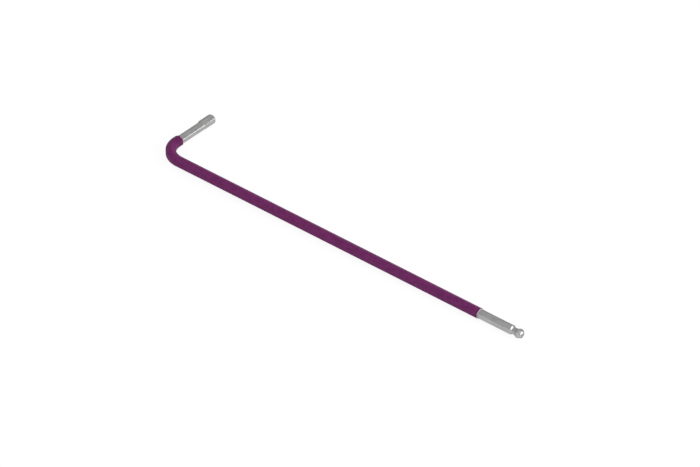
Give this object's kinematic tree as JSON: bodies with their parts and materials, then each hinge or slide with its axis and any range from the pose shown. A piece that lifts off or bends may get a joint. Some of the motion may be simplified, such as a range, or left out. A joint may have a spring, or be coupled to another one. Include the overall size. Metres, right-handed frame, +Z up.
{
  "type": "hex key",
  "caption": "Long bent hexagon key of bright steel with a ball end, a relieved short arm with a full-size driving tip, and a thin purple colour sleeve round the bend and long arm.",
  "frame": {"origin": "bottom centre of the key's bounding box, on the surface that the key lies on", "axes": "+X along the long arm towards the ball end, +Y along the short arm towards the driving tip, +Z up out of the plane of the bend"},
  "size_m": [0.1022, 0.0178, 0.0025],
  "materials": {
    "steel": "bright drawn steel, ground at both ends",
    "sleeve": "satin purple colour-code sleeve"
  },
  "bodies": {
    "root": {"steel_bar": "steel", "colour_sleeve": "sleeve"}
  },
  "joints": []
}
